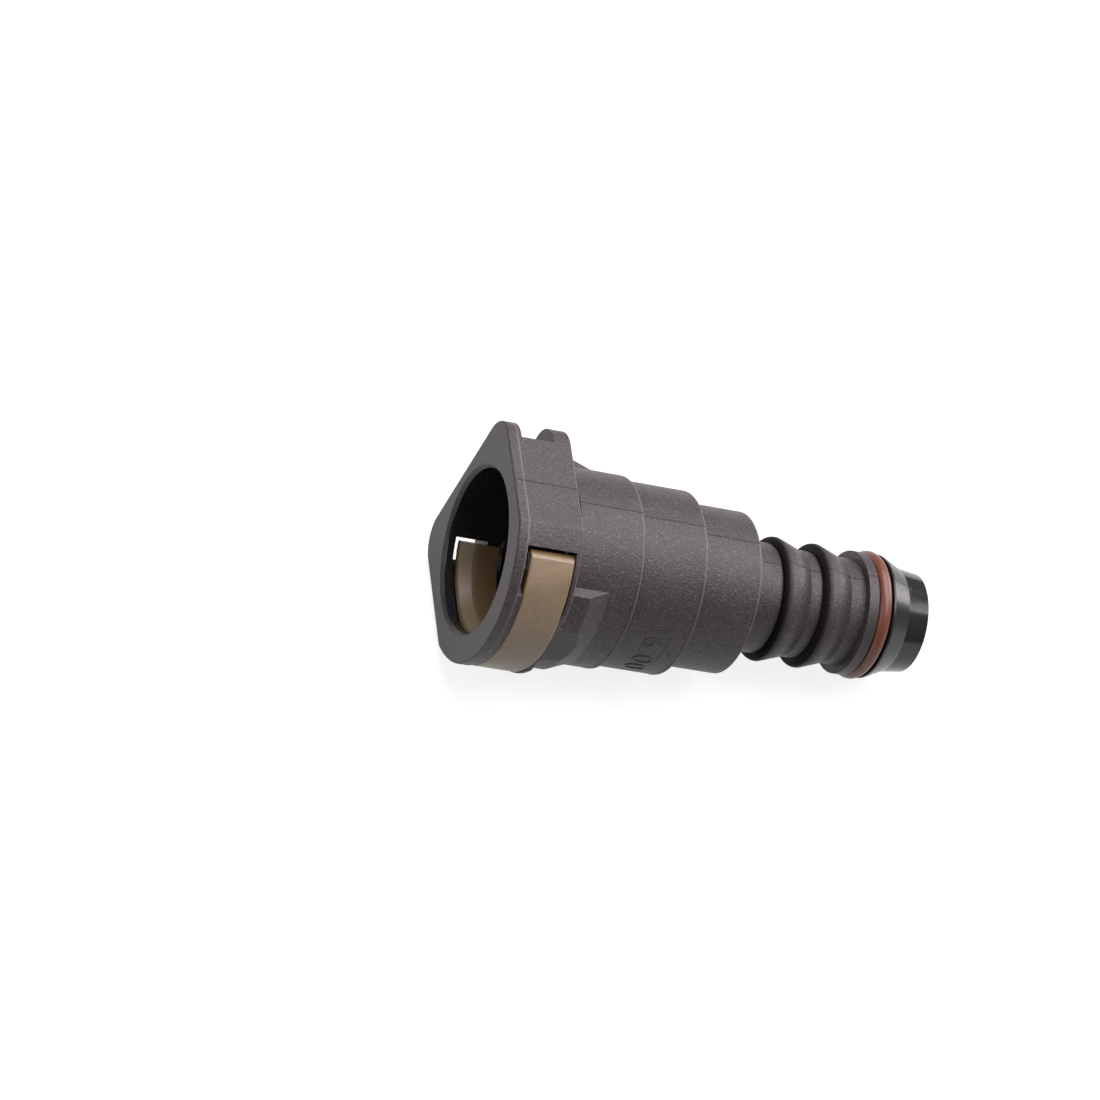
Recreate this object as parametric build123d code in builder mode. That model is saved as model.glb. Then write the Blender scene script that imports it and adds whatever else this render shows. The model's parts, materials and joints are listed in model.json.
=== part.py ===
"""Plastic quick disconnect coupling for a 15.82 mm spigot, straight barbed stem.

The coupling is modelled about its own axis: X is the side direction, Y points at
the front pad and Z runs from the mouth to the stem. Every piece is then laid on its
flat flank by one shared placement before it is exported.
"""
import os
from math import atan2, cos, radians, sin, sqrt

from build123d import *

# --- spigot the coupling is made for -------------------------------------------
spigot_r = 7.91
spigot_play = 0.09
bead_r = 9.95
bead_play = 0.25

# --- retainer: travel, walls and plays -----------------------------------------
press = 0.95
bead_grip = 0.8
lead_grip = 0.2
latch_wall = 1.95
latch_trim = 0.55
latch_half_angle = 45.0
latch_slot_lap = 0.4
latch_end_play = 0.1
web_play = 0.02
web_clear = 0.53
web_from = 47.0
web_to = 52.5
pad_wall = 1.25
pad_sunk = 0.1
pad_end_wall = 1.070784
pad_play = 0.45
pad_round = 0.3
rear_pad_half = 7.2
rear_pad_wall = 1.2
rear_pad_proud = 0.7

# --- head section --------------------------------------------------------------
side_wall = 1.4
window_step = 0.35
window_lap = 0.7
notch_in = 7.1
sleeve_wall = 0.75
back_wall = 1.1
ear_r = 4.0
ear_slot_lap = 0.2
shoulder_r = 1.2
edge_round = 0.25
mouth_lead = 0.46

# --- bosses behind the head ----------------------------------------------------
boss_half = 7.4
boss_rise = 1.05
boss_edge = 0.4
boss_sunk = 0.5
boss_drop = 1.2
bridge_half = 3.3
bridge_sunk = 0.4
bridge_lap = 0.2
groove_depth = 0.8

# --- body and stem radii -------------------------------------------------------
body1_wall = 1.8
body2_wall = 1.3
body3_wall = 2.16
body_round = 0.25
flow_r = 5.54
gland_wall = 0.76
tip_foot_wall = 1.14
root_wall = 1.2
neck_wall = 1.39
barb_rise = 1.1
barb_round = 0.8
flange_rise = 1.06
flange_round = 0.45
tip_rise = 1.13
tip_round = 0.35

# --- lengths along the axis ----------------------------------------------------
front_plate = 1.35
window_start = 0.6
ear_slot_start = 0.45
latch_start = 0.7
web_start = 0.55
ring_bay = 6.4
rear_plate = 0.63
pad_start = 0.1
pad_end_play = 0.05
rear_pad_play = 0.15
latch_lead = 1.5
latch_end = 0.85
web_end = 0.5
ear_slot_end = 1.65
boss_gap = 0.22
boss_flat_len = 2.35
boss_ramp_len = 2.65
groove_len = 0.57
body1_len = 8.35
body2_len = 8.6
body3_len = 8.0
neck_len = 5.35
barb_len = 3.15
barb_pitch = 5.55
last_barb_len = 3.2
last_root_len = 2.0
flange_len = 1.3
gland_len = 2.1
tip_land = 0.25
tip_cone_len = 2.5
tip_end_len = 2.85

# --- seals, bush and guide -----------------------------------------------------
seal_gap = 0.03
seal_clear = 0.07
bush_start = 2.15
bush_len = 4.0
bush_fit = 0.02
bush_lead = 0.6
spacer_len = 1.6
guide_len = 11.3
stop_lead = 1.0
stem_seal_section = 1.8
stem_seal_fit = 0.02

# --- radii and half widths that follow -----------------------------------------
guide_r = spigot_r + spigot_play
mouth_r = bead_r + bead_play
latch_in_r = bead_r - bead_grip
latch_face_r = bead_r - lead_grip
latch_out_r = latch_in_r + latch_wall
latch_half = latch_out_r - latch_trim
pad_in_r = latch_out_r + web_play + press + web_clear
pad_out_r = pad_in_r + pad_wall
head_r = pad_out_r + pad_sunk
flat_front = head_r - boss_drop
sleeve_r = mouth_r + sleeve_wall
back_flat = sleeve_r + back_wall
cavity_half = latch_half + press + latch_end_play
flank = cavity_half + side_wall
window_half = cavity_half - window_step
pad_half = window_half - pad_play
pad_low = sqrt(pad_out_r**2 - pad_half**2) - pad_end_wall
window_floor = pad_low + window_lap
latch_slot = pad_low + latch_slot_lap
ear_slot_floor = pad_low + ear_slot_lap
rear_pad_face = back_flat + rear_pad_proud
rear_pad_in_r = sleeve_r + press + latch_end_play
rear_pad_out_r = rear_pad_in_r + rear_pad_wall
rear_web_in_r = rear_pad_in_r
body1_r = mouth_r + body1_wall
body2_r = mouth_r + body2_wall
body3_r = guide_r + body3_wall
boss_r = body1_r + boss_rise
groove_floor_r = body1_r - groove_depth
gland_floor_r = flow_r + gland_wall
tip_end_r = gland_floor_r
tip_foot_r = flow_r + tip_foot_wall
root_r = flow_r + root_wall
neck_r = flow_r + neck_wall
barb_r = root_r + barb_rise
flange_r = root_r + flange_rise
tip_r = root_r + tip_rise
seal_section = mouth_r - seal_gap - guide_r - seal_clear
seal_r = mouth_r - seal_gap - seal_section / 2
stem_seal_out_r = gland_floor_r + stem_seal_fit + stem_seal_section
stem_seal_r = stem_seal_out_r - stem_seal_section / 2
far = 40.0

# --- stations that follow, counted from the mouth face -------------------------
cavity_z0 = front_plate
window_z0 = front_plate + window_start
window_z1 = front_plate + ring_bay
pad_z0 = window_z0 + pad_start
pad_z1 = window_z1 - pad_end_play
ear_slot_z0 = front_plate + ear_slot_start
ear_slot_z1 = window_z1 - ear_slot_end
rear_pad_z0 = ear_slot_z0 + rear_pad_play
rear_pad_z1 = ear_slot_z1 - rear_pad_play
latch_z0 = front_plate + latch_start
latch_z1 = window_z1 - latch_end
web_z0 = latch_z0 + web_start
web_z1 = ear_slot_z1 - web_end
head_len = window_z1 + rear_plate
boss_z0 = head_len + boss_gap
boss_ramp_z = boss_z0 + boss_flat_len
boss_end = boss_ramp_z + boss_ramp_len
collar_z0 = head_len + groove_len
body1_end = collar_z0 + body1_len
body2_end = body1_end + body2_len
body3_end = body2_end + body3_len
barb1_crest = body3_end + neck_len
barb1_foot = barb1_crest + barb_len
barb2_crest = barb1_crest + barb_pitch
barb2_foot = barb2_crest + last_barb_len
flange_z0 = barb2_foot + last_root_len
gland_z0 = flange_z0 + flange_len
gland_z1 = gland_z0 + gland_len
tip_foot = gland_z1 + tip_land + tip_cone_len
total_len = tip_foot + tip_end_len
bush_z0 = window_z1 + bush_start
bush_z1 = bush_z0 + bush_len
seal1_z = bush_z1 + seal_section / 2
spacer_z0 = bush_z1 + seal_section
spacer_z1 = spacer_z0 + spacer_len
seal2_z = spacer_z1 + seal_section / 2
seat_z1 = spacer_z1 + seal_section
stop_z = seat_z1 + guide_len
stem_seal_z = (gland_z0 + gland_z1) / 2

# --- housing: the bosses behind the head, made first ---------------------------
with BuildPart() as boss:
    with BuildSketch(Plane.XZ):
        Polygon(
            (groove_floor_r - boss_sunk, boss_z0),
            (boss_r, boss_z0),
            (boss_r, boss_ramp_z),
            (body1_r, boss_end),
            (groove_floor_r - boss_sunk, boss_end),
            align=None,
        )
    revolve(axis=Axis.Z)
    with BuildSketch(Plane.XY):
        Rectangle(2 * boss_half, 2 * far)
    extrude(amount=far, mode=Mode.INTERSECT)
    fillet(boss.edges().filter_by(GeomType.LINE).filter_by(Axis.Z), boss_edge)

# --- housing: head, body and barbed stem in one moulding -----------------------
with BuildPart() as housing:
    with BuildSketch(Plane.XY) as head_outline:
        Circle(head_r)
        Rectangle(2 * flank, 2 * far, mode=Mode.INTERSECT)
        with Locations((0, -back_flat / 2)):
            Rectangle(2 * flank, back_flat)
        with Locations((0, -back_flat)):
            Rectangle(2 * far, far, align=(Align.CENTER, Align.MAX), mode=Mode.SUBTRACT)
        corners = head_outline.vertices().group_by(Axis.Y)
        fillet(corners[0], ear_r)
        fillet(head_outline.vertices().filter_by(lambda v: v.Y > 1), shoulder_r)
    extrude(amount=head_len)
    ends = housing.faces().filter_by(Axis.Z)
    fillet(ends.edges(), edge_round)

    with BuildSketch(Plane.XZ) as body_outline:
        Polygon(
            (0, head_len / 2),
            (groove_floor_r, head_len / 2),
            (groove_floor_r, collar_z0),
            (body1_r, collar_z0),
            (body1_r, body1_end),
            (body2_r, body1_end),
            (body2_r, body2_end),
            (body3_r, body2_end),
            (body3_r, body3_end),
            (neck_r, body3_end),
            (neck_r, barb1_crest - barb_round),
            (barb_r, barb1_crest - barb_round),
            (barb_r, barb1_crest),
            (root_r, barb1_foot),
            (root_r, barb2_crest - barb_round),
            (barb_r, barb2_crest - barb_round),
            (barb_r, barb2_crest),
            (root_r, barb2_foot),
            (root_r, flange_z0),
            (flange_r, flange_z0),
            (flange_r, gland_z0),
            (gland_floor_r, gland_z0),
            (gland_floor_r, gland_z1),
            (tip_r, gland_z1),
            (tip_r, gland_z1 + tip_land),
            (tip_foot_r, tip_foot),
            (tip_end_r, total_len),
            (0, total_len),
            align=None,
        )
        profile = body_outline.vertices()
        crests = profile.filter_by(lambda v: abs(v.X - barb_r) < 0.01)
        leading = crests.filter_by(
            lambda v: min(abs(v.Y - z + barb_round) for z in (barb1_crest, barb2_crest)) < 0.01
        )
        fillet(leading, barb_round * 0.9)
        fillet(profile.filter_by(lambda v: abs(v.X - body1_r) < 0.01), body_round)
        fillet(profile.filter_by(lambda v: abs(v.X - body2_r) < 0.01 and v.Y > body1_end + 1), body_round)
        fillet(profile.filter_by(lambda v: abs(v.X - body3_r) < 0.01 and v.Y > body2_end + 1), body_round)
        fillet(profile.filter_by(lambda v: abs(v.X - flange_r) < 0.01 and v.Y < gland_z0 - 0.1), flange_round)
        fillet(profile.filter_by(lambda v: abs(v.X - tip_end_r) < 0.01), tip_round)
    revolve(axis=Axis.Z)

    add(boss.part)
    with BuildSketch(Plane.XY.offset(head_len - bridge_sunk)):
        Rectangle(2 * bridge_half, 2 * flat_front)
    extrude(amount=boss_z0 - head_len + bridge_sunk + bridge_lap)
    with BuildSketch(Plane.XY.offset(window_z1)):
        for side in (1, -1):
            with Locations((0, side * (flat_front + far / 2))):
                Rectangle(2 * far, far)
    extrude(amount=boss_end - window_z1, mode=Mode.SUBTRACT)

    # ring cavity, open to the bore at both latches, and the two release openings
    with BuildSketch(Plane.XY.offset(cavity_z0)):
        Rectangle(2 * cavity_half, 2 * window_floor)
        Circle(sleeve_r, mode=Mode.SUBTRACT)
        Rectangle(2 * cavity_half, 2 * latch_slot)
    extrude(amount=window_z1 - cavity_z0, mode=Mode.SUBTRACT)
    with BuildSketch(Plane.XY.offset(window_z0)):
        with Locations((0, latch_slot)):
            Rectangle(2 * window_half, far, align=(Align.CENTER, Align.MIN))
        Circle(sleeve_r, mode=Mode.SUBTRACT)
    extrude(amount=window_z1 - window_z0, mode=Mode.SUBTRACT)
    with BuildSketch(Plane.XY.offset(cavity_z0)):
        with Locations((0, latch_slot)):
            Rectangle(2 * window_half, far, align=(Align.CENTER, Align.MIN))
            Rectangle(2 * notch_in, far, align=(Align.CENTER, Align.MIN), mode=Mode.SUBTRACT)
        Circle(sleeve_r, mode=Mode.SUBTRACT)
    extrude(amount=window_z0 - cavity_z0, mode=Mode.SUBTRACT)
    with BuildSketch(Plane.XY.offset(ear_slot_z0)):
        with Locations((0, -ear_slot_floor)):
            Rectangle(2 * far, far, align=(Align.CENTER, Align.MAX))
        Circle(sleeve_r, mode=Mode.SUBTRACT)
    extrude(amount=ear_slot_z1 - ear_slot_z0, mode=Mode.SUBTRACT)

    # mouth, seal seat, spigot bore and flow bore
    with BuildSketch(Plane.XZ):
        Polygon(
            (0, 0),
            (mouth_r + mouth_lead, 0),
            (mouth_r, mouth_lead),
            (mouth_r, seat_z1),
            (guide_r, seat_z1),
            (guide_r, stop_z),
            (flow_r, stop_z + stop_lead),
            (flow_r, total_len),
            (0, total_len),
            align=None,
        )
    revolve(axis=Axis.Z, mode=Mode.SUBTRACT)

# --- seals, bush and spacer ----------------------------------------------------
with BuildPart() as bush:
    with BuildSketch(Plane.XZ):
        Polygon(
            (guide_r + bush_lead, bush_z0),
            (mouth_r - bush_fit, bush_z0),
            (mouth_r - bush_fit, bush_z1),
            (guide_r, bush_z1),
            (guide_r, bush_z0 + bush_lead),
            align=None,
        )
    revolve(axis=Axis.Z)

with BuildPart() as front_seal:
    with BuildSketch(Plane.XZ):
        with Locations((seal_r, seal1_z)):
            Circle(seal_section / 2)
    revolve(axis=Axis.Z)

with BuildPart() as spacer:
    with BuildSketch(Plane.XY.offset(spacer_z0)):
        Circle(mouth_r - bush_fit)
        Circle(guide_r, mode=Mode.SUBTRACT)
    extrude(amount=spacer_len)

with BuildPart() as rear_seal:
    with BuildSketch(Plane.XZ):
        with Locations((seal_r, seal2_z)):
            Circle(seal_section / 2)
    revolve(axis=Axis.Z)

with BuildPart() as stem_seal:
    with BuildSketch(Plane.XZ):
        with Locations((stem_seal_r, stem_seal_z)):
            Circle(stem_seal_section / 2)
    revolve(axis=Axis.Z)

# --- retainer: front pad, rear pad, two latches and the webs that join them ----
with BuildPart() as front_pad:
    with BuildSketch(Plane.XY.offset(pad_z0)):
        Circle(pad_out_r)
        Circle(pad_in_r, mode=Mode.SUBTRACT)
        with Locations((0, pad_low)):
            Rectangle(2 * pad_half, far, align=(Align.CENTER, Align.MIN), mode=Mode.INTERSECT)
    extrude(amount=pad_z1 - pad_z0)
    outer = front_pad.faces().filter_by(GeomType.CYLINDER).sort_by(Axis.Y)[-1]
    fillet(outer.edges(), min(pad_round, pad_end_wall / 2))

with BuildPart() as rear_pad:
    with BuildSketch(Plane.XY.offset(rear_pad_z0)):
        Circle(rear_pad_out_r)
        Circle(rear_pad_in_r, mode=Mode.SUBTRACT)
        with Locations((0, -rear_pad_face)):
            Rectangle(
                2 * rear_pad_half,
                rear_pad_face - pad_low,
                align=(Align.CENTER, Align.MIN),
                mode=Mode.INTERSECT,
            )
    extrude(amount=rear_pad_z1 - rear_pad_z0)

with BuildPart() as top_latch:
    start = radians(-latch_half_angle)
    with BuildSketch(Plane((0, 0, 0), x_dir=(cos(start), sin(start), 0), z_dir=(sin(start), -cos(start), 0))):
        Polygon(
            (latch_face_r, latch_z0),
            (latch_out_r, latch_z0),
            (latch_out_r, latch_z1),
            (latch_in_r, latch_z1),
            (latch_in_r, latch_z0 + latch_lead),
            align=None,
        )
    revolve(axis=Axis.Z, revolution_arc=2 * latch_half_angle)
    with BuildSketch(Plane.XY):
        Rectangle(2 * latch_half, far)
    extrude(amount=far, mode=Mode.INTERSECT)

with BuildPart() as top_front_web:
    with BuildSketch(Plane.XY.offset(web_z0)):
        Circle(pad_in_r)
        Circle(latch_out_r + web_play, mode=Mode.SUBTRACT)
        Polygon(
            (0, 0),
            (far * sin(radians(web_from)), far * cos(radians(web_from))),
            (far * sin(radians(web_to)), far * cos(radians(web_to))),
            align=None,
            mode=Mode.INTERSECT,
        )
    extrude(amount=web_z1 - web_z0)

with BuildPart() as top_rear_web:
    with BuildSketch(Plane.XY.offset(web_z0)) as web_strip:
        Circle(pad_in_r)
        Circle(latch_out_r + web_play, mode=Mode.SUBTRACT)
        Polygon(
            (0, 0),
            (far * sin(radians(web_from)), -far * cos(radians(web_from))),
            (far * sin(radians(web_to)), -far * cos(radians(web_to))),
            align=None,
            mode=Mode.INTERSECT,
        )
    extrude(amount=web_z1 - web_z0)
    with BuildSketch(Plane.XY.offset(web_z0)):
        Circle(pad_in_r)
        Circle(rear_web_in_r, mode=Mode.SUBTRACT)
        Polygon(
            (rear_pad_half, -pad_low),
            (rear_pad_half, -far),
            (far * sin(radians(web_to)), -far * cos(radians(web_to))),
            (rear_pad_half, -rear_pad_half / 2),
            align=None,
            mode=Mode.INTERSECT,
        )
    extrude(amount=web_z1 - web_z0)

# --- placement: lying on the flat flank, resting on the head and the body ------
lie = atan2(flank - body2_r, body2_end - head_len)
pose = Plane(
    (0, 0, head_len * sin(lie) + flank * cos(lie)),
    x_dir=(sin(lie), 0, cos(lie)),
    z_dir=(cos(lie), 0, -sin(lie)),
)
pieces = {
    "housing": housing.part,
    "stem_seal": stem_seal.part,
    "bush": bush.part,
    "front_seal": front_seal.part,
    "spacer": spacer.part,
    "rear_seal": rear_seal.part,
    "front_pad": front_pad.part,
    "rear_pad": rear_pad.part,
    "top_latch": top_latch.part,
    "bottom_latch": mirror(top_latch.part, about=Plane.YZ),
    "top_front_web": top_front_web.part,
    "bottom_front_web": mirror(top_front_web.part, about=Plane.YZ),
    "top_rear_web": top_rear_web.part,
    "bottom_rear_web": mirror(top_rear_web.part, about=Plane.YZ),
}
laid = {name: pose.location * piece for name, piece in pieces.items()}
boxes = [piece.bounding_box() for piece in laid.values()]
mid_x = (min(b.min.X for b in boxes) + max(b.max.X for b in boxes)) / 2
mid_y = (min(b.min.Y for b in boxes) + max(b.max.Y for b in boxes)) / 2
home = Location((-mid_x, -mid_y, -min(b.min.Z for b in boxes)))
os.makedirs("parts", exist_ok=True)
for name, piece in laid.items():
    placed = home * piece
    placed.label = name
    export_step(placed, f"parts/{name}.step")
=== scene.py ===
"""Finish, mould marks, retainer webs and studio for the quick disconnect coupling.

The coupling's own axes are used throughout: side points at the upper flank, front at
the front pad, and along runs from the mouth to the stem, all in millimetres from the
middle of the mouth face. PLACE carries them into the frame, which is in metres.
"""

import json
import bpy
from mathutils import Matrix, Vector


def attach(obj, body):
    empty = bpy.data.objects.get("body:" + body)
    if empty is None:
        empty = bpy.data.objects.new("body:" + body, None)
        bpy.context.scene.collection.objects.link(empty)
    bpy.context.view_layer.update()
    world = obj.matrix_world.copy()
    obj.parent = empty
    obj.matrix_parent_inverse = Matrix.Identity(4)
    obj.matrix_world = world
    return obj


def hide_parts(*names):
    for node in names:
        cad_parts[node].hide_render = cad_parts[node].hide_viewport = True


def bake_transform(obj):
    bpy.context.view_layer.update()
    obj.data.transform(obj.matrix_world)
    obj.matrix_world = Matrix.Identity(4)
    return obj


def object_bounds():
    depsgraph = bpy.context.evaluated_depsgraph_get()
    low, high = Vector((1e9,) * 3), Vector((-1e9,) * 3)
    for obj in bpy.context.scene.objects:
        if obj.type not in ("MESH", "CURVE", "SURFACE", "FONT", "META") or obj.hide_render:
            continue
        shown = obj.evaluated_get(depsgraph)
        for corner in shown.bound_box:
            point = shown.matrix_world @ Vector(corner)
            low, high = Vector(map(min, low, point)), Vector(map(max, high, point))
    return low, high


bl_info = {
    "name": "Quick Disconnect Coupling",
    "version": (1, 0, 0),
    "blender": (4, 5, 0),
    "location": "View3D > Sidebar > Coupling",
    "description": "Finishes, mould marks, retainer webs and studio for a tubing coupling",
    "category": "Object",
}

from math import cos, pi, radians, sin

import bmesh
import bpy
from bpy.props import FloatProperty, FloatVectorProperty, PointerProperty, StringProperty
from mathutils import Matrix, Vector

MM = 0.001

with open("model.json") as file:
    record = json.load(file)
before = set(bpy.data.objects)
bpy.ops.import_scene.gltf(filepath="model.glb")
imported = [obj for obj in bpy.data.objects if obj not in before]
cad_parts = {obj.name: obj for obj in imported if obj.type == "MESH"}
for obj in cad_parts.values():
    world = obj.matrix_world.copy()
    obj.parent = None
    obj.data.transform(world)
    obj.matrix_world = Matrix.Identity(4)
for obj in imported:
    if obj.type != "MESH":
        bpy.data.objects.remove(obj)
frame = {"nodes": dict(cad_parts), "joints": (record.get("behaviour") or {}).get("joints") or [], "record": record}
CAD_BOX = [list(corner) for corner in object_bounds()]

# --- the coupling's axes, read from its mounts and joints ----------------------
MOUNTS = {mount["name"]: mount for mount in frame["record"]["mounts"]}
JOINTS = {joint["name"]: joint for joint in frame["joints"]}
ALONG = -Vector(MOUNTS["mouth_face"]["axis"])
FRONT = -Vector(JOINTS["front_pad_press"]["axis"])
SIDE = FRONT.cross(ALONG).normalized()
BORE_MIDDLE = Vector(MOUNTS["spigot_bore"]["pos_m"])
MOUTH = BORE_MIDDLE - ALONG * (BORE_MIDDLE - Vector(MOUNTS["mouth_face"]["pos_m"])).dot(ALONG)
TURN = Matrix((SIDE, FRONT, ALONG)).transposed()
PLACE = Matrix.Translation(MOUTH) @ (TURN * MM).to_4x4()

# --- stations and radii of the moulding, in millimetres ------------------------
# each body is (where it ends, its radius); END is past everything
PLATE_END = 1.35
HEAD_END = 8.38
BODY_1 = (17.3, 12.0)
BODY_2 = (25.9, 11.5)
BODY_3 = (33.9, 10.16)
BARB_CRESTS = (39.25, 44.8)
BARB_LENGTH = 3.15
BARB_RADII = (7.84, 6.77)
BARB_CORE = 6.4
FLANGE = (50.0, 51.3)
TIP_START = 53.4
TIP_FOOT = 56.15
END = 70.0
BORE_RADIUS = 10.2
BORE_END = 22.0
GUIDE_RADIUS = 8.1
GUIDE_END = 33.0
FLOW_RADIUS = 5.7
STEM_OUTSIDE = 6.6
HEAD_PARTING = 1.0
WEB_RADII = (11.12, 12.6)
WEB_SPAN = (2.6, 5.6)
WEB_ANGLES = (47.0, 52.5)
PAD_FACE = 13.85
CAVITY_STATION = 15.65
RING_MARK_STATION = 24.15
LINE_INSET = 0.35
LINE_SWEEP = 1.9


# --- settings ------------------------------------------------------------------
def colour(name, description, value):
    """A colour property, linear, three channels."""
    return FloatVectorProperty(
        name=name, description=description, subtype="COLOR", size=3, min=0, max=1, default=value
    )


class FinishSettings(bpy.types.PropertyGroup):
    """Colours and grain of the moulded and rubber pieces."""

    plastic: colour("Housing", "Charcoal glass-filled nylon of the housing", (0.06, 0.051, 0.054))
    plastic_dark: colour("Housing pits", "Darker plastic between the grains", (0.014, 0.0125, 0.014))
    pad: colour("Retainer", "Khaki nylon of the retainer", (0.27, 0.2, 0.128))
    amber: colour("Retainer edge", "Light that leaves the retainer through its walls", (0.2, 0.125, 0.05))
    terracotta: colour("Stem seal", "Red-brown rubber of the stem seal", (0.125, 0.038, 0.022))
    black_rubber: colour("Inner seals", "Black rubber of the seals in the bore", (0.012, 0.012, 0.013))
    black_plastic: colour("Bush", "Black plastic of the bush and spacer", (0.02, 0.02, 0.022))
    grain_pitch: FloatProperty(
        name="Grain pitch", description="Distance between the grains of the eroded mould, in millimetres",
        default=0.24, min=0.05, max=1,
    )
    grain_depth: FloatProperty(
        name="Grain depth", description="Height of the grains", subtype="DISTANCE",
        default=0.00008, min=0, max=0.0002,
    )


class MarkSettings(bpy.types.PropertyGroup):
    """The plain number and the fine lines that the mould leaves."""

    number: StringProperty(name="Number", description="Plain number on the barrel", default="16.00")
    number_height: FloatProperty(
        name="Number height", description="Height of the digits in millimetres", default=2.8, min=1, max=6
    )
    number_station: FloatProperty(
        name="Number station", description="Where the digits stand, from the mouth, in millimetres",
        default=20.3, min=18, max=25,
    )
    number_proud: FloatProperty(
        name="Number height above the barrel", description="In millimetres", default=0.1, min=0.02, max=0.5
    )
    cavity: StringProperty(
        name="Cavity number", description="Small plain number on the front step", default="2"
    )
    line_width: FloatProperty(
        name="Witness line width", description="In millimetres", default=0.09, min=0.02, max=0.5
    )


class StageSettings(bpy.types.PropertyGroup):
    """Camera and lights."""

    azimuth: FloatProperty(
        name="Camera azimuth", description="Bearing of the camera, in degrees from +X", default=-117.5
    )
    elevation: FloatProperty(name="Camera elevation", description="In degrees above the floor", default=47.13)
    roll: FloatProperty(name="Camera roll", description="In degrees about the view axis", default=27.19)
    distance: FloatProperty(
        name="Camera distance", description="From the middle of the coupling", subtype="DISTANCE",
        default=0.5615,
    )
    lens: FloatProperty(name="Focal length", description="In millimetres on a 36 mm sensor", default=149.3)
    right: FloatProperty(
        name="Coupling to the right", description="How far the coupling sits right of the view's centre",
        subtype="DISTANCE", default=0.01822,
    )
    down: FloatProperty(
        name="Coupling below", description="How far the coupling sits below the view's centre",
        subtype="DISTANCE", default=0.0037,
    )
    top_power: FloatProperty(
        name="Top light", description="Power of the softbox overhead, in watts", default=10.0, min=0
    )
    stem_power: FloatProperty(
        name="Stem light", description="Power of the softbox past the stem, in watts", default=2.6, min=0
    )
    mouth_power: FloatProperty(
        name="Mouth light", description="Power of the light before the mouth, in watts", default=1.2, min=0
    )
    fill: FloatProperty(name="Room light", description="Strength of the dim room around", default=0.05, min=0)


# --- node helpers --------------------------------------------------------------
def feed(tree, socket, value):
    """Links or sets a socket."""
    if isinstance(value, bpy.types.NodeSocket):
        tree.links.new(value, socket)
    else:
        socket.default_value = value


def calculate(tree, operation, *values, clamp=False):
    """A Math node on sockets or numbers."""
    node = tree.nodes.new("ShaderNodeMath")
    node.operation = operation
    node.use_clamp = clamp
    for socket, value in zip(node.inputs, values):
        feed(tree, socket, value)
    return node.outputs[0]


def ramp(tree, value, low, high, to_low=0.0, to_high=1.0):
    """A smooth step of value between low and high."""
    node = tree.nodes.new("ShaderNodeMapRange")
    node.interpolation_type = "SMOOTHSTEP"
    for socket, entry in zip(node.inputs, (value, low, high, to_low, to_high)):
        feed(tree, socket, entry)
    return node.outputs[0]


def blend_colour(tree, factor, first, second):
    """A colour between first and second."""
    node = tree.nodes.new("ShaderNodeMix")
    node.data_type = "RGBA"
    feed(tree, node.inputs[0], factor)
    for socket, entry in ((node.inputs[6], first), (node.inputs[7], second)):
        feed(tree, socket, entry if isinstance(entry, bpy.types.NodeSocket) else (*entry, 1.0))
    return node.outputs[2]


def noise(tree, vector, scale, detail=2.0, roughness=0.5):
    """Noise on a vector."""
    node = tree.nodes.new("ShaderNodeTexNoise")
    feed(tree, node.inputs["Vector"], vector)
    feed(tree, node.inputs["Scale"], scale)
    node.inputs["Detail"].default_value = detail
    node.inputs["Roughness"].default_value = roughness
    return node.outputs["Fac"]


def effect(name, inputs, outputs):
    """An empty shader group with named sockets, and its two ends."""
    group = bpy.data.node_groups.new(name, "ShaderNodeTree")
    for label, kind, value in inputs:
        socket = group.interface.new_socket(label, in_out="INPUT", socket_type=kind)
        if value is not None:
            socket.default_value = value
    for label in outputs:
        group.interface.new_socket(label, in_out="OUTPUT", socket_type="NodeSocketFloat")
    return group, group.nodes.new("NodeGroupInput").outputs, group.nodes.new("NodeGroupOutput").inputs


def use(tree, group, **values):
    """Places an effect in a material and returns its outputs."""
    node = tree.nodes.new("ShaderNodeGroup")
    node.node_tree = group
    for label, value in values.items():
        feed(tree, node.inputs[label.replace("_", " ")], value)
    return node.outputs


def make_axes_effect():
    """Distance from the coupling's axis, and the height along it."""
    group, given, result = effect(
        "Barrel Axes", [("Vector", "NodeSocketVector", None)], ["Side", "Front", "Along", "Radius"]
    )
    split = group.nodes.new("ShaderNodeSeparateXYZ")
    feed(group, split.inputs[0], given["Vector"])
    side, front, along = split.outputs
    squares = [calculate(group, "MULTIPLY", value, value) for value in (side, front)]
    radius = calculate(group, "SQRT", calculate(group, "ADD", *squares))
    for label, value in (("Side", side), ("Front", front), ("Along", along), ("Radius", radius)):
        feed(group, result[label], value)
    return group


def make_grain_effect():
    """The grain that a spark-eroded mould leaves: a height, and a mask of the brightest grains, where a glint is
    painted.
    """
    group, given, result = effect(
        "Spark Grain",
        [("Vector", "NodeSocketVector", None), ("Pitch", "NodeSocketFloat", 0.2)],
        ["Height", "Glint", "Cloud"],
    )
    scale = calculate(group, "DIVIDE", 1.0, given["Pitch"])
    cells = group.nodes.new("ShaderNodeTexVoronoi")
    feed(group, cells.inputs["Vector"], given["Vector"])
    feed(group, cells.inputs["Scale"], calculate(group, "MULTIPLY", scale, 0.8))
    fine = noise(group, given["Vector"], scale, 2.0, 0.6)
    height = calculate(group, "ADD", calculate(group, "MULTIPLY", cells.outputs["Distance"], 0.6), fine)
    feed(group, result["Height"], calculate(group, "MULTIPLY", height, 0.6))
    feed(group, result["Glint"], ramp(group, fine, 0.5, 0.78))
    feed(group, result["Cloud"], noise(group, given["Vector"], 0.35, 3.0, 0.6))
    return group


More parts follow.
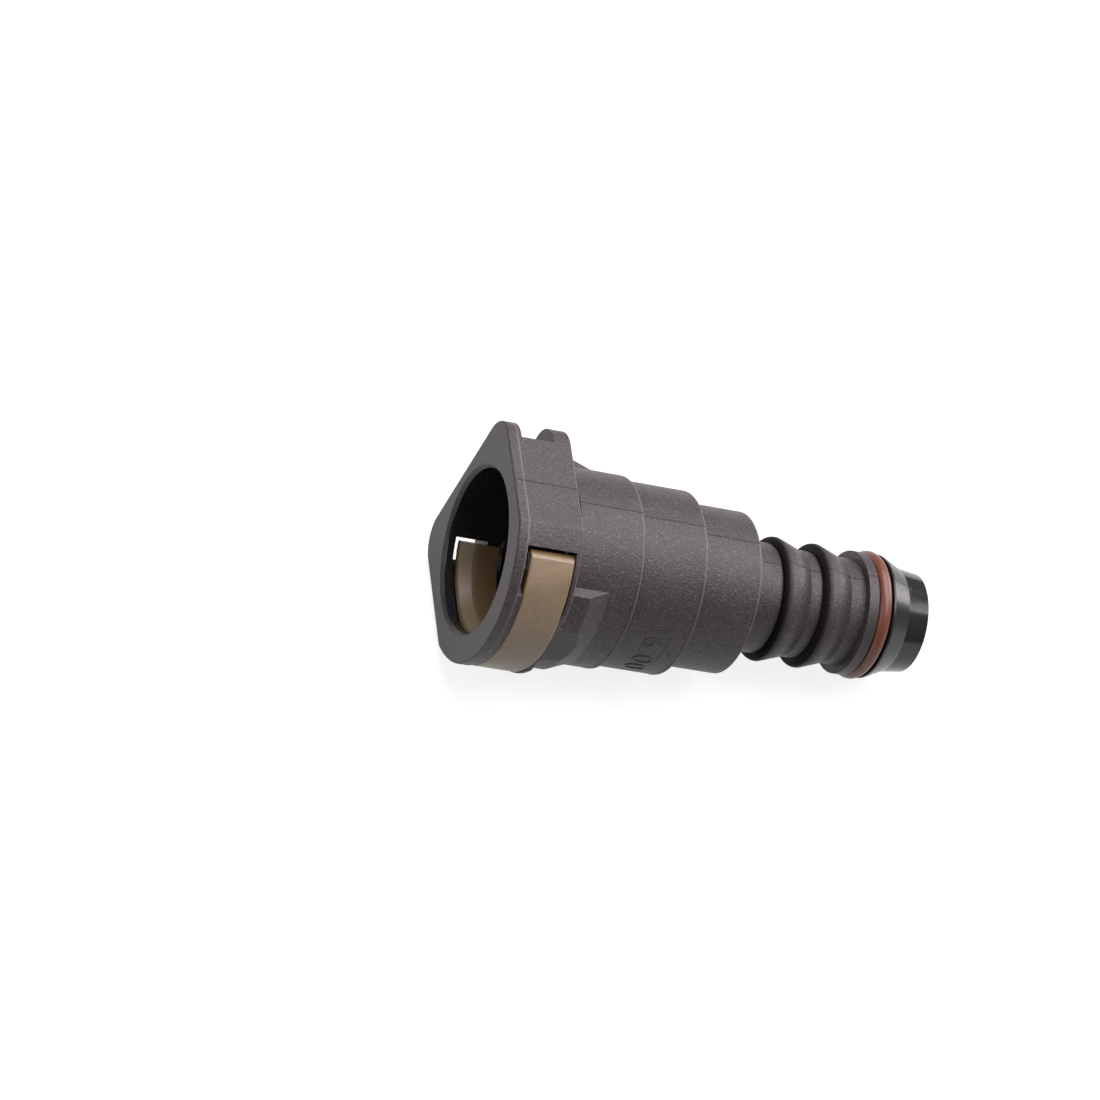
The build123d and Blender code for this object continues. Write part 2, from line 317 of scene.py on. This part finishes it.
def make_band_effect():
    """1 between two values, falling off over a softness on each side."""
    group, given, result = effect(
        "Band",
        [
            ("Value", "NodeSocketFloat", 0.0),
            ("From", "NodeSocketFloat", 0.0),
            ("To", "NodeSocketFloat", 1.0),
            ("Soft", "NodeSocketFloat", 0.1),
        ],
        ["Mask"],
    )
    value, start, end, soft = (given[label] for label in ("Value", "From", "To", "Soft"))
    rise = ramp(group, value, calculate(group, "SUBTRACT", start, soft), start)
    fall = ramp(group, value, end, calculate(group, "ADD", end, soft), 1.0, 0.0)
    feed(group, result["Mask"], calculate(group, "MULTIPLY", rise, fall))
    return group


def make_lathe_effect():
    """Fine rings round the axis, as a polished core leaves them."""
    group, given, result = effect(
        "Turned Rings",
        [("Vector", "NodeSocketVector", None), ("Pitch", "NodeSocketFloat", 0.12)],
        ["Height"],
    )
    split = group.nodes.new("ShaderNodeSeparateXYZ")
    feed(group, split.inputs[0], given["Vector"])
    join = group.nodes.new("ShaderNodeCombineXYZ")
    for axis, share in enumerate((0.03, 0.03, 1.0)):
        feed(group, join.inputs[axis], calculate(group, "MULTIPLY", split.outputs[axis], share))
    scale = calculate(group, "DIVIDE", 1.0, given["Pitch"])
    feed(group, result["Height"], noise(group, join.outputs[0], scale, 2.0, 0.7))
    return group


def new_material(name):
    """A material with its Principled shader, its tree and the coupling's millimetre coordinates."""
    material = bpy.data.materials.new(name)
    material.use_nodes = True
    tree = material.node_tree
    shader = tree.nodes["Principled BSDF"]
    source = tree.nodes.new("ShaderNodeTexCoord")
    mapping = tree.nodes.new("ShaderNodeMapping")
    mapping.vector_type = "TEXTURE"
    feed(tree, mapping.inputs["Vector"], source.outputs["Object"])
    mapping.inputs["Location"].default_value = MOUTH
    mapping.inputs["Rotation"].default_value = TURN.to_euler("XYZ")
    mapping.inputs["Scale"].default_value = (MM, MM, MM)
    return material, tree, shader, mapping.outputs[0]


def bump(tree, shader, height, distance, strength=1.0):
    """Feeds a height into the shader's normal. Distance is in metres."""
    node = tree.nodes.new("ShaderNodeBump")
    node.inputs["Strength"].default_value = strength
    node.inputs["Distance"].default_value = distance
    feed(tree, node.inputs["Height"], height)
    feed(tree, shader.inputs["Normal"], node.outputs[0])


# --- materials -----------------------------------------------------------------
def housing_plastic(finish, effects):
    """Grained charcoal nylon, smoother on the face, the flange and in the bore, glossy at the tip."""
    material, tree, shader, place = new_material("housing_plastic")
    axes = use(tree, effects["axes"], Vector=place)
    grain = use(tree, effects["grain"], Vector=place, Pitch=finish.grain_pitch)
    rings = use(tree, effects["rings"], Vector=place, Pitch=0.14)["Height"]
    along, radius = axes["Along"], axes["Radius"]

    def band(value, low, high, soft):
        return use(tree, effects["band"], Value=value, From=low, To=high, Soft=soft)["Mask"]

    def times(first, second):
        return calculate(tree, "MULTIPLY", first, second)

    def most(first, second):
        return calculate(tree, "MAXIMUM", first, second)

    def less(first, second):
        return calculate(tree, "SUBTRACT", first, second)

    def within(limit, soft):
        return ramp(tree, radius, limit, limit + soft, 1, 0)

    def plastic(share):
        return [channel * share for channel in finish.plastic]

    # where the mould is smooth: the tip and the bores; where it is half smooth: face and flange
    face = band(along, -1.0, 0.04, 0.06)
    tip = band(along, TIP_START, END, 0.02)
    collar = band(along, TIP_FOOT, END, 0.05)
    flange = band(along, FLANGE[0] + 0.3, FLANGE[1], 0.02)
    bore = times(within(BORE_RADIUS + 0.05, 0.1), band(along, 0.1, BORE_END, 0.1))
    guide = times(within(GUIDE_RADIUS, 0.2), band(along, BORE_END - 1, GUIDE_END, 0.1))
    flow = times(within(FLOW_RADIUS, 0.4), band(along, GUIDE_END - 2, END, 0.1))
    smooth = most(most(tip, most(bore, guide)), flow)
    quiet = most(smooth, times(most(face, flange), 0.6))

    # parting line along both flanks, off the middle on the head
    shift = times(band(along, 0.2, HEAD_END, 0.02), HEAD_PARTING)
    offset = calculate(tree, "ABSOLUTE", calculate(tree, "ADD", axes["Front"], shift))
    outside = ramp(tree, radius, STEM_OUTSIDE, STEM_OUTSIDE + 0.1)
    parting = times(ramp(tree, offset, 0.025, 0.09, 1, 0), outside)

    # painted highlights on the rims of the steps and crests, and painted shade at their feet and in the grooves
    painted_highlights = painted_shade = 0.0
    for station, step_radius in (BODY_1, BODY_2, BODY_3, (HEAD_END, 12.9), (PLATE_END, 13.0)):
        rim_highlight = times(band(along, station - 0.16, station + 0.01, 0.08),
                    ramp(tree, radius, step_radius - 0.35, step_radius - 0.1))
        foot_shade = times(band(along, station + 0.015, station + 0.12, 0.25),
                     ramp(tree, radius, step_radius - 0.15, step_radius - 0.25))
        painted_highlights = most(painted_highlights, rim_highlight)
        painted_shade = most(painted_shade, foot_shade)
    for crest in BARB_CRESTS:
        groove_shade = times(band(along, crest - 0.75, crest + 0.01, 0.35),
                       ramp(tree, radius, BARB_RADII[0] + 0.1, BARB_RADII[0] - 0.1))
        painted_highlights = most(painted_highlights, band(along, crest + 0.04, crest + 0.2, 0.02))
        painted_shade = most(painted_shade, groove_shade)

    tone = calculate(tree, "ADD", times(grain["Height"], 0.9), times(grain["Cloud"], 0.35), clamp=True)
    base = blend_colour(tree, tone, finish.plastic_dark, finish.plastic)
    # painted glint: the brightest grains are made lighter
    base = blend_colour(tree, times(grain["Glint"], 0.5), base, plastic(2.8))
    base = blend_colour(tree, quiet, base, plastic(0.72))
    # painted highlight: the rims are made lighter; painted shade: the feet and grooves are made darker
    base = blend_colour(tree, times(painted_highlights, 0.5), base, plastic(2.6))
    base = blend_colour(tree, times(painted_shade, 0.9), base, plastic(0.15))
    base = blend_colour(tree, smooth, base, finish.black_plastic)
    base = blend_colour(tree, times(parting, 0.55), base, finish.plastic_dark)
    feed(tree, shader.inputs["Base Color"], base)

    rough = less(less(0.5, times(grain["Glint"], 0.12)), times(smooth, 0.24))
    rough = calculate(tree, "SUBTRACT", rough, times(collar, 0.12), clamp=True)
    feed(tree, shader.inputs["Roughness"], rough)
    # the painted shade at the feet and in the grooves also gets less specular
    feed(tree, shader.inputs["Specular IOR Level"], less(0.36, times(painted_shade, 0.34)))

    height = times(grain["Height"], less(1.0, quiet))
    height = calculate(tree, "ADD", height, times(times(rings, tip), 0.16))
    bump(tree, shader, less(height, times(parting, 0.9)), finish.grain_depth)
    return material


def retainer_nylon(finish, effects):
    """Khaki nylon that lets some light through: pale faces, amber where the wall is seen."""
    material, tree, shader, place = new_material("retainer_nylon")
    axes = use(tree, effects["axes"], Vector=place)
    grain = use(tree, effects["grain"], Vector=place, Pitch=0.3)
    depth = calculate(tree, "SUBTRACT", PAD_FACE, axes["Radius"])
    outer = ramp(tree, depth, 0.12, 0.45)
    below = ramp(tree, axes["Radius"], 11.3, 11.6, 1, 0)
    bore_side = calculate(tree, "MULTIPLY", below, ramp(tree, axes["Along"], 3.5, 4.4))
    pad_side = calculate(tree, "MULTIPLY", outer, calculate(tree, "SUBTRACT", 1.0, below))
    amber = calculate(tree, "MAXIMUM", pad_side, calculate(tree, "MULTIPLY", bore_side, 0.75))
    mottle = ramp(tree, grain["Cloud"], 0.35, 0.7)
    pale = blend_colour(tree, mottle, [channel * 0.88 for channel in finish.pad], finish.pad)
    # painted glint on the brightest grains of the nylon
    pale = blend_colour(tree, calculate(tree, "MULTIPLY", grain["Glint"], 0.2), pale, (0.6, 0.54, 0.42))
    feed(tree, shader.inputs["Base Color"], blend_colour(tree, amber, pale, finish.amber))
    rough = calculate(tree, "ADD", 0.4, calculate(tree, "MULTIPLY", mottle, 0.1))
    feed(tree, shader.inputs["Roughness"], rough)
    shader.inputs["Subsurface Weight"].default_value = 0.35
    shader.inputs["Subsurface Radius"].default_value = (1.0, 0.7, 0.35)
    shader.inputs["Subsurface Scale"].default_value = 0.0012
    bump(tree, shader, grain["Height"], 0.000012)
    return material


def rubber(name, tone, effects, roughness, sheen):
    """Moulded rubber with the fine lines of its mould round the ring."""
    material, tree, shader, place = new_material(name)
    rings = use(tree, effects["rings"], Vector=place, Pitch=0.22)["Height"]
    grain = use(tree, effects["grain"], Vector=place, Pitch=0.5)
    lit = [min(1.0, channel * 1.35 + 0.01) for channel in tone]
    base = blend_colour(tree, ramp(tree, rings, 0.35, 0.7), tone, lit)
    cloud = calculate(tree, "MULTIPLY", grain["Cloud"], 0.4)
    base = blend_colour(tree, cloud, base, [channel * 0.7 for channel in tone])
    feed(tree, shader.inputs["Base Color"], base)
    feed(tree, shader.inputs["Roughness"], ramp(tree, rings, 0.3, 0.7, roughness + 0.06, roughness - 0.06))
    shader.inputs["Sheen Weight"].default_value = sheen
    bump(tree, shader, rings, 0.00002)
    return material


def bush_plastic(finish, effects):
    """Smooth black plastic of the bush and the spacer."""
    material, tree, shader, place = new_material("bush_plastic")
    rings = use(tree, effects["rings"], Vector=place, Pitch=0.16)["Height"]
    feed(tree, shader.inputs["Base Color"],
         blend_colour(tree, rings, finish.black_plastic, [c * 1.8 for c in finish.black_plastic]))
    feed(tree, shader.inputs["Roughness"], ramp(tree, rings, 0.3, 0.7, 0.4, 0.5))
    bump(tree, shader, rings, 0.000008)
    return material


def shared_effects():
    """The shader groups that the materials share, each made the first time it is asked for."""
    makers = {"axes": ("Barrel Axes", make_axes_effect), "grain": ("Spark Grain", make_grain_effect),
              "band": ("Band", make_band_effect), "rings": ("Turned Rings", make_lathe_effect)}
    return {key: bpy.data.node_groups.get(name) or make() for key, (name, make) in makers.items()}


def wear(obj, material):
    """Gives an object one material."""
    obj.data.materials.clear()
    obj.data.materials.append(material)


def finish_cad(name, material):
    """A CAD node keeps its mesh and takes a finish."""
    node = frame["nodes"][name]
    wear(node, material)


# --- pieces --------------------------------------------------------------------
def link(name, mesh):
    """A mesh as an object at the origin."""
    obj = bpy.data.objects.new(name, mesh)
    bpy.context.scene.collection.objects.link(obj)
    return obj


def geometry_tree(name, inputs):
    """An empty Geometry Nodes tree with named inputs, its input sockets and its output socket."""
    tree = bpy.data.node_groups.new(name, "GeometryNodeTree")
    tree.interface.new_socket("Geometry", in_out="INPUT", socket_type="NodeSocketGeometry")
    for label, kind, value in inputs:
        socket = tree.interface.new_socket(label, in_out="INPUT", socket_type=kind)
        if value is not None:
            socket.default_value = value
    tree.interface.new_socket("Geometry", in_out="OUTPUT", socket_type="NodeSocketGeometry")
    return tree, tree.nodes.new("NodeGroupInput").outputs, tree.nodes.new("NodeGroupOutput").inputs[0]


def finish_tree(tree, geometry, material, end):
    """Ends a tree in Realize Instances and Set Material."""
    realize = tree.nodes.new("GeometryNodeRealizeInstances")
    paint = tree.nodes.new("GeometryNodeSetMaterial")
    feed(tree, realize.inputs[0], geometry)
    feed(tree, paint.inputs["Geometry"], realize.outputs[0])
    feed(tree, paint.inputs["Material"], material)
    feed(tree, end, paint.outputs[0])


def make_wrap_tree():
    """Bends flat text round a barrel: x goes round, y stands towards the stem, z stands proud."""
    tree, given, end = geometry_tree(
        "Wrap Round Barrel",
        [
            ("Radius", "NodeSocketFloat", 10.0),
            ("Station", "NodeSocketFloat", 0.0),
            ("Sunk", "NodeSocketFloat", 0.05),
            ("Material", "NodeSocketMaterial", None),
        ],
    )
    position = tree.nodes.new("GeometryNodeInputPosition")
    split = tree.nodes.new("ShaderNodeSeparateXYZ")
    feed(tree, split.inputs[0], position.outputs[0])
    angle = calculate(tree, "DIVIDE", calculate(tree, "MULTIPLY", split.outputs[0], -1.0), given["Radius"])
    top = calculate(tree, "ADD", given["Radius"], split.outputs[2])
    reach = calculate(tree, "SUBTRACT", top, given["Sunk"])
    join = tree.nodes.new("ShaderNodeCombineXYZ")
    feed(tree, join.inputs[0], calculate(tree, "MULTIPLY", reach, calculate(tree, "SINE", angle)))
    feed(tree, join.inputs[1], calculate(tree, "MULTIPLY", reach, calculate(tree, "COSINE", angle)))
    feed(tree, join.inputs[2], calculate(tree, "ADD", given["Station"], split.outputs[1]))
    move = tree.nodes.new("GeometryNodeSetPosition")
    feed(tree, move.inputs["Geometry"], given["Geometry"])
    feed(tree, move.inputs["Position"], join.outputs[0])
    finish_tree(tree, move.outputs[0], given["Material"], end)
    return tree


def make_witness_tree():
    """A fine raised line round a barrel, over an arc that is centred on the front."""
    tree, given, end = geometry_tree(
        "Witness Line",
        [
            ("Radius", "NodeSocketFloat", 10.0),
            ("Station", "NodeSocketFloat", 0.0),
            ("Width", "NodeSocketFloat", 0.1),
            ("Sweep", "NodeSocketFloat", 1.0),
            ("Material", "NodeSocketMaterial", None),
        ],
    )
    arc = tree.nodes.new("GeometryNodeCurveArc")
    arc.inputs["Resolution"].default_value = 96
    feed(tree, arc.inputs["Radius"], given["Radius"])
    half = calculate(tree, "MULTIPLY", given["Sweep"], 0.5)
    feed(tree, arc.inputs["Start Angle"], calculate(tree, "SUBTRACT", pi / 2, half))
    feed(tree, arc.inputs["Sweep Angle"], given["Sweep"])
    profile = tree.nodes.new("GeometryNodeCurvePrimitiveCircle")
    profile.inputs["Resolution"].default_value = 8
    feed(tree, profile.inputs["Radius"], calculate(tree, "MULTIPLY", given["Width"], 0.5))
    sweep = tree.nodes.new("GeometryNodeCurveToMesh")
    feed(tree, sweep.inputs["Curve"], arc.outputs[0])
    feed(tree, sweep.inputs["Profile Curve"], profile.outputs[0])
    sweep.inputs["Fill Caps"].default_value = True
    lift = tree.nodes.new("ShaderNodeCombineXYZ")
    feed(tree, lift.inputs[2], given["Station"])
    move = tree.nodes.new("GeometryNodeSetPosition")
    feed(tree, move.inputs["Geometry"], sweep.outputs[0])
    feed(tree, move.inputs["Offset"], lift.outputs[0])
    finish_tree(tree, move.outputs[0], given["Material"], end)
    return tree


def evaluate(name, mesh, tree, **values):
    """Runs a Geometry Nodes tree on a mesh and keeps the result as a plain mesh in the frame."""
    source = link(name + "_source", mesh)
    modifier = source.modifiers.new("shape", "NODES")
    modifier.node_group = tree
    sockets = {item.name: item.identifier for item in tree.interface.items_tree if item.in_out == "INPUT"}
    for label, value in values.items():
        modifier[sockets[label]] = value
    bpy.context.view_layer.update()
    shaped = bpy.data.meshes.new_from_object(source.evaluated_get(bpy.context.evaluated_depsgraph_get()))
    bpy.data.objects.remove(source)
    shaped.name = name
    shaped.transform(PLACE)
    return link(name, shaped)


def flat_text(name, words, height, thickness, thin=0.0):
    """Plain text lying in its own plane, centred, standing on y = 0, as a mesh in millimetres."""
    curve = bpy.data.curves.new(name, "FONT")
    curve.body = words
    curve.size = height / 0.69
    curve.extrude = thickness / 2
    curve.offset = -thin
    curve.align_x = "CENTER"
    curve.space_character = 1.12
    curve.resolution_u = 6
    holder = link(name + "_text", curve)
    bpy.context.view_layer.update()
    mesh = bpy.data.meshes.new_from_object(holder.evaluated_get(bpy.context.evaluated_depsgraph_get()))
    bpy.data.objects.remove(holder)
    mesh.transform(Matrix.Translation((0, 0, thickness / 2)))
    shape = bmesh.new()
    shape.from_mesh(mesh)
    bmesh.ops.remove_doubles(shape, verts=shape.verts, dist=0.001)
    bmesh.ops.triangulate(shape, faces=shape.faces)
    shape.to_mesh(mesh)
    shape.free()
    return mesh


def web_half(name, angles, front_sign, side_sign, rows=10):
    """Half of a thin web between a latch and a pad, as a curved strip with a wall."""
    shape = bmesh.new()
    inner, outer = WEB_RADII
    start, end = WEB_SPAN
    loops = []
    for row in range(rows + 1):
        angle = radians(angles[0] + (angles[1] - angles[0]) * row / rows)
        loop = []
        for radius, along in ((inner, start), (outer, start), (outer, end), (inner, end)):
            place = (side_sign * radius * sin(angle), front_sign * radius * cos(angle), along)
            loop.append(shape.verts.new(place))
        loops.append(loop)
    for first, second in zip(loops, loops[1:]):
        for k in range(4):
            shape.faces.new((first[k], first[(k + 1) % 4], second[(k + 1) % 4], second[k]))
    shape.faces.new(loops[0])
    shape.faces.new(loops[-1])
    bmesh.ops.recalc_face_normals(shape, faces=shape.faces)
    mesh = bpy.data.meshes.new(name)
    shape.to_mesh(mesh)
    shape.free()
    mesh.transform(PLACE)
    return link(name, mesh)


def barb_skin(name, crest, steps=128):
    """A sharp cone that sits on a barb: full at its crest, falling to the root towards the tip."""
    profile = ((crest, BARB_CORE), (crest, BARB_RADII[0] - 0.06), (crest + 0.06, BARB_RADII[0]),
               (crest + BARB_LENGTH, BARB_RADII[1]), (crest + BARB_LENGTH, BARB_CORE))
    shape = bmesh.new()
    loops = []
    for step in range(steps):
        turn = 2 * pi * step / steps
        places = [(radius * sin(turn), radius * cos(turn), along) for along, radius in profile]
        loops.append([shape.verts.new(place) for place in places])
    for first, second in zip(loops, loops[1:] + loops[:1]):
        for k in range(len(profile)):
            after = (k + 1) % len(profile)
            shape.faces.new((first[k], first[after], second[after], second[k])).smooth = k == 2
    bmesh.ops.recalc_face_normals(shape, faces=shape.faces)
    mesh = bpy.data.meshes.new(name)
    shape.to_mesh(mesh)
    shape.free()
    mesh.transform(PLACE)
    return link(name, mesh)


# --- operators -----------------------------------------------------------------
class FinishHousing(bpy.types.Operator):
    """Gives the housing its grained plastic"""

    bl_idname = "coupling.finish_housing"
    bl_label = "Finish the housing"

    def execute(self, context):
        scene = context.scene
        finish_cad("housing", housing_plastic(scene.coupling_finish, shared_effects()))
        return {"FINISHED"}


class MakeRetainer(bpy.types.Operator):
    """Gives the pads and latches their nylon and makes the webs between them"""

    bl_idname = "coupling.make_retainer"
    bl_label = "Retainer and webs"

    def execute(self, context):
        nylon = retainer_nylon(context.scene.coupling_finish, shared_effects())
        for name in ("front_pad", "rear_pad", "top_latch", "bottom_latch"):
            finish_cad(name, nylon)
        middle = sum(WEB_ANGLES) / 2
        for level, side_sign in (("top", 1), ("bottom", -1)):
            for end, front_sign in (("front", 1), ("rear", -1)):
                node = f"{level}_{end}_web"
                for part, body, angles in (
                    ("pad", f"{end}_pad", (WEB_ANGLES[0], middle)),
                    ("latch", f"{level}_latch", (WEB_ANGLES[1], middle)),
                ):
                    half = web_half(f"{node}_{part}_half", angles, front_sign, side_sign)
                    wear(half, nylon)
                    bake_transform(half)
                    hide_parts(node)
        return {"FINISHED"}


class FinishSeals(bpy.types.Operator):
    """Gives the seals their rubber and the bush and spacer their black plastic"""

    bl_idname = "coupling.finish_seals"
    bl_label = "Finish the seals and bush"

    def execute(self, context):
        finish = context.scene.coupling_finish
        effects = shared_effects()
        finish_cad("stem_seal", rubber("stem_seal_rubber", finish.terracotta, effects, 0.38, 0.0))
        inner = rubber("inner_seal_rubber", finish.black_rubber, effects, 0.4, 0.0)
        finish_cad("front_seal", inner)
        finish_cad("rear_seal", inner)
        black = bush_plastic(finish, effects)
        finish_cad("bush", black)
        finish_cad("spacer", black)
        return {"FINISHED"}


class MakeMarks(bpy.types.Operator):
    """Makes the plain number and the fine witness lines on the barrel"""

    bl_idname = "coupling.make_marks"
    bl_label = "Number and witness lines"

    def execute(self, context):
        marks = context.scene.coupling_marks
        plastic = bpy.data.materials["housing_plastic"]
        wrap = make_wrap_tree()
        witness = make_witness_tree()
        sunk = 0.05
        thick = marks.number_proud + sunk
        line_above = marks.number_station + marks.number_height + 0.35
        pieces = []
        for name, words, height, thickness, thin, radius, station in (
            ("size_number", marks.number, marks.number_height, thick, 0.1, BODY_2[1], marks.number_station),
            ("cavity_number", marks.cavity, 0.9, marks.number_proud, 0.0, BODY_1[1], CAVITY_STATION),
            ("ring_mark", "o", 1.0, marks.number_proud, 0.0, BODY_2[1], RING_MARK_STATION),
        ):
            flat = flat_text(name, words, height, thickness, thin)
            pieces.append(evaluate(name, flat, wrap, Radius=radius, Station=station,
                                   Sunk=sunk, Material=plastic))
        for name, radius, station, sweep in (
            ("number_underline", BODY_2[1], line_above, 0.5),
            ("front_witness_line", BODY_1[1], BODY_1[0] - LINE_INSET, LINE_SWEEP),
            ("middle_witness_line", BODY_2[1], BODY_2[0] - LINE_INSET, LINE_SWEEP),
        ):
            empty = bpy.data.meshes.new(name)
            pieces.append(evaluate(name, empty, witness, Radius=radius, Station=station,
                                   Width=marks.line_width, Sweep=sweep, Material=plastic))
        for index, crest in enumerate(BARB_CRESTS):
            skin = barb_skin(f"barb_{index + 1}_skin", crest)
            wear(skin, plastic)
            pieces.append(skin)
        for piece in pieces:
            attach(piece, "housing")
        return {"FINISHED"}


def area_light(name, place, target, size, power, tint=(1, 1, 1)):
    """A soft rectangular light that looks at a target. Places and sizes are in metres."""
    data = bpy.data.lights.new(name, "AREA")
    data.shape = "RECTANGLE"
    data.size, data.size_y = size
    data.energy = power
    data.color = tint
    light = link(name, data)
    light.location = place
    light.rotation_euler = (Vector(target) - Vector(place)).to_track_quat("-Z", "Y").to_euler()
    return light


def seen_by_camera(tree):
    """1 for what the camera itself sees."""
    return tree.nodes.new("ShaderNodeLightPath").outputs["Is Camera Ray"]


def seen_directly(tree):
    """1 for the rays by which the camera, gloss and glass see a thing, and 0 for what it lights."""
    path = tree.nodes.new("ShaderNodeLightPath")
    bounce = calculate(tree, "MAXIMUM", path.outputs["Is Glossy Ray"], path.outputs["Is Transmission Ray"])
    return calculate(tree, "MAXIMUM", path.outputs["Is Camera Ray"], bounce)


def white_to_camera(name, colour_value, glow):
    """A pale diffuse surface that the camera, gloss and glass see brighter than it lights."""
    material = bpy.data.materials.new(name)
    material.use_nodes = True
    tree = material.node_tree
    tree.nodes.remove(tree.nodes["Principled BSDF"])
    diffuse = tree.nodes.new("ShaderNodeBsdfDiffuse")
    diffuse.inputs["Color"].default_value = (*colour_value, 1)
    emission = tree.nodes.new("ShaderNodeEmission")
    feed(tree, emission.inputs["Strength"], calculate(tree, "MULTIPLY", seen_directly(tree), glow))
    both = tree.nodes.new("ShaderNodeAddShader")
    feed(tree, both.inputs[0], diffuse.outputs[0])
    feed(tree, both.inputs[1], emission.outputs[0])
    feed(tree, tree.nodes["Material Output"].inputs["Surface"], both.outputs[0])
    return material


class MakeStage(bpy.types.Operator):
    """Lays the pale floor and sets the lights and the camera"""

    bl_idname = "coupling.make_stage"
    bl_label = "Floor, lights and camera"

    def execute(self, context):
        stage = context.scene.coupling_stage
        low, high = (Vector(corner) for corner in CAD_BOX)
        middle = (low + high) / 2
        reach = 3.0
        mesh = bpy.data.meshes.new("floor")
        corners = [(-reach, -reach, 0), (reach, -reach, 0), (reach, reach, 0), (-reach, reach, 0)]
        mesh.from_pydata(corners, [], [(0, 1, 2, 3)])
        floor = link("floor", mesh)
        wear(floor, white_to_camera("floor_white", (0.22, 0.22, 0.22), 0.86))

        warm = (1.0, 0.955, 0.965)
        area_light("top_light", (0.15, 0.12, 0.6), middle, (0.9, 0.6), stage.top_power, warm)
        area_light("stem_light", (0.65, 0.3, 0.22), middle, (0.35, 0.25), stage.stem_power, warm)
        area_light("mouth_light", (-0.6, -0.1, 0.35), middle, (0.3, 0.3), stage.mouth_power)

        world = bpy.data.worlds.new("studio")
        world.use_nodes = True
        tree = world.node_tree
        background = tree.nodes["Background"]
        background.inputs["Color"].default_value = (1, 1, 1, 1)
        feed(tree, background.inputs["Strength"], ramp(tree, seen_by_camera(tree), 0, 1, stage.fill, 1.0))
        context.scene.world = world
        context.scene.view_settings.view_transform = "Standard"

        azimuth, elevation = radians(stage.azimuth), radians(stage.elevation)
        back = Vector((cos(elevation) * cos(azimuth), cos(elevation) * sin(azimuth), sin(elevation)))
        right = Vector((0, 0, 1)).cross(back).normalized()
        up = back.cross(right)
        level = Matrix((right, up, back)).transposed()
        turned = level @ Matrix.Rotation(radians(stage.roll), 3, "Z")
        right, up, back = turned.transposed()
        data = bpy.data.cameras.new("camera")
        data.lens = stage.lens
        data.sensor_width = 36
        data.clip_start = 0.01
        camera = link("camera", data)
        place = middle - right * stage.right + up * stage.down + back * stage.distance
        camera.matrix_world = Matrix.Translation(place) @ turned.to_4x4()
        context.scene.camera = camera
        return {"FINISHED"}


class CouplingPanel(bpy.types.Panel):
    """Lists the steps that finish the coupling"""

    bl_idname = "COUPLING_PT_steps"
    bl_label = "Quick Disconnect Coupling"
    bl_space_type = "VIEW_3D"
    bl_region_type = "UI"
    bl_category = "Coupling"

    def draw(self, context):
        for step in STEPS:
            self.layout.operator(step.bl_idname)
        for group in SETTINGS:
            settings = getattr(context.scene, group)
            box = self.layout.box()
            for name in settings.__annotations__:
                box.prop(settings, name)


SETTINGS = {
    "coupling_finish": FinishSettings,
    "coupling_marks": MarkSettings,
    "coupling_stage": StageSettings,
}
STEPS = (FinishHousing, MakeRetainer, FinishSeals, MakeMarks, MakeStage)


def register():
    for settings in (*SETTINGS.values(), *STEPS, CouplingPanel):
        bpy.utils.register_class(settings)
    for name, settings in SETTINGS.items():
        setattr(bpy.types.Scene, name, PointerProperty(type=settings))


def unregister():
    for name in SETTINGS:
        delattr(bpy.types.Scene, name)
    for settings in (CouplingPanel, *reversed(STEPS), *SETTINGS.values()):
        bpy.utils.unregister_class(settings)


def main():
    """Finishes the coupling."""
    register()
    bpy.ops.coupling.finish_housing()
    bpy.ops.coupling.make_retainer()
    bpy.ops.coupling.finish_seals()
    bpy.ops.coupling.make_marks()
    bpy.ops.coupling.make_stage()


if __name__ == "__main__":
    main()
